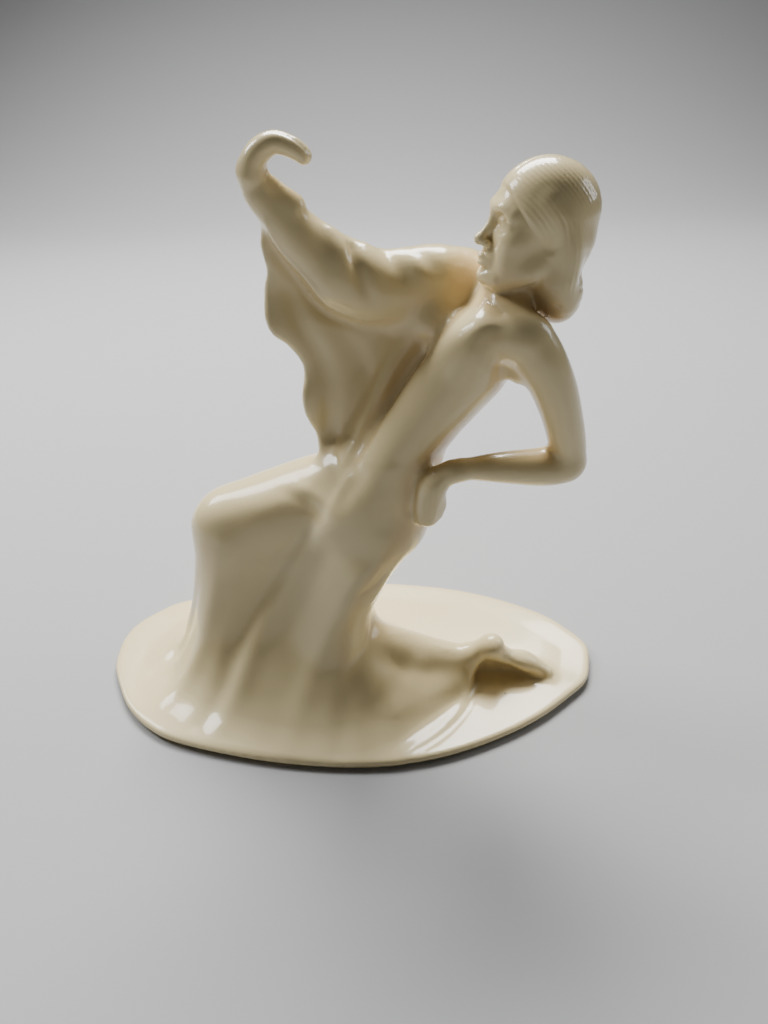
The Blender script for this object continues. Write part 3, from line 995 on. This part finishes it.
def put_piece(name, v, tri, n, ao, thin, mat, smooth_lids=False):
    used, inv = np.unique(tri, return_inverse=True)
    tri = inv.reshape(-1, 3)
    pv, pn, pa, pt = v[used], n[used], ao[used], thin[used]
    extra, lids = wall_edge(pv, tri, pn, pt)
    allv = np.vstack([pv, extra]) * 0.001
    faces = np.vstack([tri, lids])
    mesh = bpy.data.meshes.new(name)
    mesh.vertices.add(len(allv))
    mesh.vertices.foreach_set("co", allv.ravel())
    mesh.loops.add(len(faces) * 3)
    mesh.loops.foreach_set("vertex_index", faces.ravel())
    mesh.polygons.add(len(faces))
    mesh.polygons.foreach_set("loop_start", np.arange(0, len(faces) * 3, 3))
    mesh.polygons.foreach_set("use_smooth", np.ones(len(faces), bool))
    mesh.update(calc_edges=True)
    for key, val in (("glaze_open", pa), ("glaze_thin", pt)):
        full = np.concatenate([val, np.full(len(extra), 0.5)])
        att = mesh.attributes.new(key, "FLOAT", "POINT")
        att.data.foreach_set("value", full.astype(F4))
    full = np.concatenate([pn, np.tile([0, 0, 1.0], (len(extra), 1))]) if len(extra) else pn
    loops = full[faces.ravel()]
    if len(lids):
        t = allv[lids]
        fn = np.cross(t[:, 1] - t[:, 0], t[:, 2] - t[:, 0])
        fn /= np.maximum(np.linalg.norm(fn, axis=1), 1e-15)[:, None]
        loops[len(tri) * 3:] = np.repeat(fn, 3, 0)
    mesh.normals_split_custom_set(loops.tolist())
    ob = bpy.data.objects.new(name, mesh)
    bpy.context.scene.collection.objects.link(ob)
    mesh.materials.append(mat)
    return ob


# ------------------------------------------------------------ glaze
def glaze_material():
    m = bpy.data.materials.new("ivory_glaze")
    m.use_nodes = True
    nt = m.node_tree
    nt.nodes.clear()
    new, link = nt.nodes.new, nt.links.new
    out = new("ShaderNodeOutputMaterial")
    b = new("ShaderNodeBsdfPrincipled")
    link(b.outputs["BSDF"], out.inputs["Surface"])
    opened = new("ShaderNodeAttribute")
    opened.attribute_name = "glaze_open"
    thin = new("ShaderNodeAttribute")
    thin.attribute_name = "glaze_thin"
    # the glaze pools warm in hollows and runs pale off the edges
    ramp = new("ShaderNodeValToRGB")
    r = ramp.color_ramp
    r.interpolation = "EASE"
    r.elements[0].position, r.elements[0].color = 0.04, (0.60, 0.44, 0.235, 1)
    r.elements[1].position, r.elements[1].color = 0.97, (0.81, 0.68, 0.385, 1)
    e = r.elements.new(0.38)
    e.color = (0.70, 0.525, 0.27, 1)
    e = r.elements.new(0.68)
    e.color = (0.765, 0.595, 0.31, 1)
    link(opened.outputs["Fac"], ramp.inputs["Fac"])
    pale = new("ShaderNodeMix")
    pale.data_type = "RGBA"
    link(thin.outputs["Fac"], pale.inputs["Factor"])
    link(ramp.outputs["Color"], pale.inputs["A"])
    pale.inputs["B"].default_value = (0.83, 0.71, 0.42, 1)
    # slow drift of colour in the firing
    coords = new("ShaderNodeTexCoord")
    drift = new("ShaderNodeTexNoise")
    drift.inputs["Scale"].default_value = 34
    drift.inputs["Detail"].default_value = 3
    link(coords.outputs["Object"], drift.inputs["Vector"])
    dr = new("ShaderNodeMapRange")
    dr.inputs["From Min"].default_value, dr.inputs["From Max"].default_value = 0.3, 0.7
    dr.inputs["To Min"].default_value, dr.inputs["To Max"].default_value = 0.0, 0.16
    link(drift.outputs["Fac"], dr.inputs["Value"])
    warm = new("ShaderNodeMix")
    warm.data_type = "RGBA"
    warm.blend_type = "MULTIPLY"
    link(dr.outputs["Result"], warm.inputs["Factor"])
    link(pale.outputs["Result"], warm.inputs["A"])
    warm.inputs["B"].default_value = (0.92, 0.83, 0.64, 1)
    # rare pinholes and specks in the glaze
    spots = new("ShaderNodeTexVoronoi")
    spots.inputs["Scale"].default_value = 95
    link(coords.outputs["Object"], spots.inputs["Vector"])
    rare = new("ShaderNodeTexNoise")
    rare.inputs["Scale"].default_value = 60
    link(coords.outputs["Object"], rare.inputs["Vector"])
    near = new("ShaderNodeMapRange")
    near.inputs["From Min"].default_value, near.inputs["From Max"].default_value = 0.018, 0.034
    near.inputs["To Min"].default_value, near.inputs["To Max"].default_value = 1.0, 0.0
    link(spots.outputs["Distance"], near.inputs["Value"])
    few = new("ShaderNodeMath")
    few.operation = "GREATER_THAN"
    few.inputs[1].default_value = 0.60
    link(rare.outputs["Fac"], few.inputs[0])
    speck = new("ShaderNodeMath")
    speck.operation = "MULTIPLY"
    link(near.outputs["Result"], speck.inputs[0])
    link(few.outputs["Value"], speck.inputs[1])
    dark = new("ShaderNodeMix")
    dark.data_type = "RGBA"
    link(speck.outputs["Value"], dark.inputs["Factor"])
    link(warm.outputs["Result"], dark.inputs["A"])
    dark.inputs["B"].default_value = (0.16, 0.10, 0.05, 1)
    link(dark.outputs["Result"], b.inputs["Base Color"])
    # the faint unevenness of a fired glaze
    peel = new("ShaderNodeTexNoise")
    peel.inputs["Scale"].default_value = 260
    peel.inputs["Detail"].default_value = 2
    link(coords.outputs["Object"], peel.inputs["Vector"])
    slow = new("ShaderNodeTexNoise")
    slow.inputs["Scale"].default_value = 75
    slow.inputs["Detail"].default_value = 1
    link(coords.outputs["Object"], slow.inputs["Vector"])
    b1 = new("ShaderNodeBump")
    b1.inputs["Strength"].default_value = 0.10
    b1.inputs["Distance"].default_value = 0.0004
    link(slow.outputs["Fac"], b1.inputs["Height"])
    b2 = new("ShaderNodeBump")
    b2.inputs["Strength"].default_value = 0.035
    b2.inputs["Distance"].default_value = 0.0002
    link(peel.outputs["Fac"], b2.inputs["Height"])
    link(b1.outputs["Normal"], b2.inputs["Normal"])
    b3 = new("ShaderNodeBump")
    b3.invert = True
    b3.inputs["Strength"].default_value = 0.5
    b3.inputs["Distance"].default_value = 0.0002
    link(speck.outputs["Value"], b3.inputs["Height"])
    link(b2.outputs["Normal"], b3.inputs["Normal"])
    link(b3.outputs["Normal"], b.inputs["Normal"])
    link(b1.outputs["Normal"], b.inputs["Coat Normal"])
    rough = new("ShaderNodeMapRange")
    rough.inputs["To Min"].default_value, rough.inputs["To Max"].default_value = 0.20, 0.30
    link(drift.outputs["Fac"], rough.inputs["Value"])
    link(rough.outputs["Result"], b.inputs["Roughness"])
    b.inputs["IOR"].default_value = 1.5
    b.inputs["Coat Weight"].default_value = 0.6
    b.inputs["Coat Roughness"].default_value = 0.07
    b.inputs["Coat IOR"].default_value = 1.42
    b.inputs["Specular IOR Level"].default_value = 0.3
    return m


GLAZE = glaze_material()

V, TRI = make_skin()
N = point_normals(V, TRI)
WHO = CLAY.owner(V[TRI].mean(1), GROUPS)
WHO[V[TRI].mean(1)[:, 2] < 1.9] = GROUPS.index("base_plinth")
WHO = largest_patches(TRI, WHO, len(GROUPS))
AO, THIN = occlusion(V, N), thickness(V, N)
AO = relax(np.column_stack([AO, THIN, AO]), TRI, 2, 0.5, 0)[:, :2]
AO, THIN = AO[:, 0], AO[:, 1]
V = V + np.array([0, CENTRE_Y, 0])
V = np.clip(V, np.array(CAD_LOW) * 1000 + 0.01, np.array(CAD_HIGH) * 1000 - 0.01)
print("skin", len(V), "points", len(TRI), "triangles")
for g, name in enumerate(GROUPS):
    sel = TRI[WHO == g]
    if not len(sel):
        print("no skin for", name)
        continue
    piece = put_piece("glazed_" + name, V, sel, N, AO, THIN, GLAZE)
    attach(piece, "root")
    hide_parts(name)


# ------------------------------------------------------------ floor, light, camera
def plain(name, colour, rough):
    m = bpy.data.materials.new(name)
    m.use_nodes = True
    b = m.node_tree.nodes["Principled BSDF"]
    b.inputs["Base Color"].default_value = colour
    b.inputs["Roughness"].default_value = rough
    b.inputs["Specular IOR Level"].default_value = 0.25
    return m


floor_mesh = bpy.data.meshes.new("studio_floor")
R, D, H = 1.3, 0.9, 1.4
prof = [(-2.0, 0.0), (D - 0.35, 0.0)]
prof += [(D - 0.35 + 0.35 * math.sin(a), 0.35 - 0.35 * math.cos(a)) for a in np.linspace(0.1, math.pi / 2, 12)]
prof += [(D, H)]
verts = [(sx * R * 1.6, y, z) for y, z in prof for sx in (-1, 1)]
faces = [(2 * i, 2 * i + 1, 2 * i + 3, 2 * i + 2) for i in range(len(prof) - 1)]
floor_mesh.from_pydata(verts, [], faces)
floor_mesh.polygons.foreach_set("use_smooth", [True] * len(faces))
floor = bpy.data.objects.new("studio_floor", floor_mesh)
bpy.context.scene.collection.objects.link(floor)
floor_mesh.materials.append(plain("studio_grey", (0.42, 0.425, 0.435, 1), 0.75))


def lamp(name, loc, target, size, watts, colour=(1, 1, 1), size_y=None):
    data = bpy.data.lights.new(name, "AREA")
    data.energy, data.color, data.shape = watts, colour, "RECTANGLE"
    data.size, data.size_y = size, size_y or size
    ob = bpy.data.objects.new(name, data)
    ob.location = loc
    d = np.array(target, float) - np.array(loc, float)
    from mathutils import Vector
    ob.rotation_euler = Vector(d).to_track_quat("-Z", "Y").to_euler()
    bpy.context.scene.collection.objects.link(ob)
    return ob


lamp("key_window", (-0.02, 0.42, 0.62), (0.0, 0.0, 0.07), 0.50, 12.5, (1.0, 0.985, 0.96), 0.26)
lamp("right_window", (0.62, 0.16, 0.34), (0.0, 0.0, 0.06), 0.22, 0.9, (0.98, 0.99, 1.0), 0.30)
lamp("left_window", (-0.46, 0.22, 0.48), (0.0, 0.0, 0.07), 0.20, 3.2, (0.98, 0.99, 1.0), 0.26)
lamp("front_fill", (-0.10, -0.66, 0.30), (0.0, 0.0, 0.05), 0.55, 0.06, (1.0, 0.93, 0.82), 0.40)
world = bpy.data.worlds.new("studio")
world.use_nodes = True
world.node_tree.nodes["Background"].inputs["Color"].default_value = (1.0, 0.97, 0.92, 1)
world.node_tree.nodes["Background"].inputs["Strength"].default_value = 0.05
bpy.context.scene.world = world

from mathutils import Matrix
cam = bpy.data.cameras.new("camera")
cam.sensor_fit = "AUTO"
cam.sensor_width = 36.0
cam.lens = 710.0 / 1024.0 * 36.0
cam.clip_start, cam.clip_end = 0.01, 20
camera = bpy.data.objects.new("camera", cam)
right, up, back = (0.99946, -0.01848, -0.02703), (0.03274, 0.56406, 0.82508), (0.0, -0.82553, 0.56436)
turn = Matrix((right, up, back)).transposed().to_4x4()
camera.matrix_world = Matrix.Translation((0.01105, -0.14692 + CENTRE_Y * 0.001, 0.15365)) @ turn
bpy.context.scene.collection.objects.link(camera)
bpy.context.scene.camera = camera
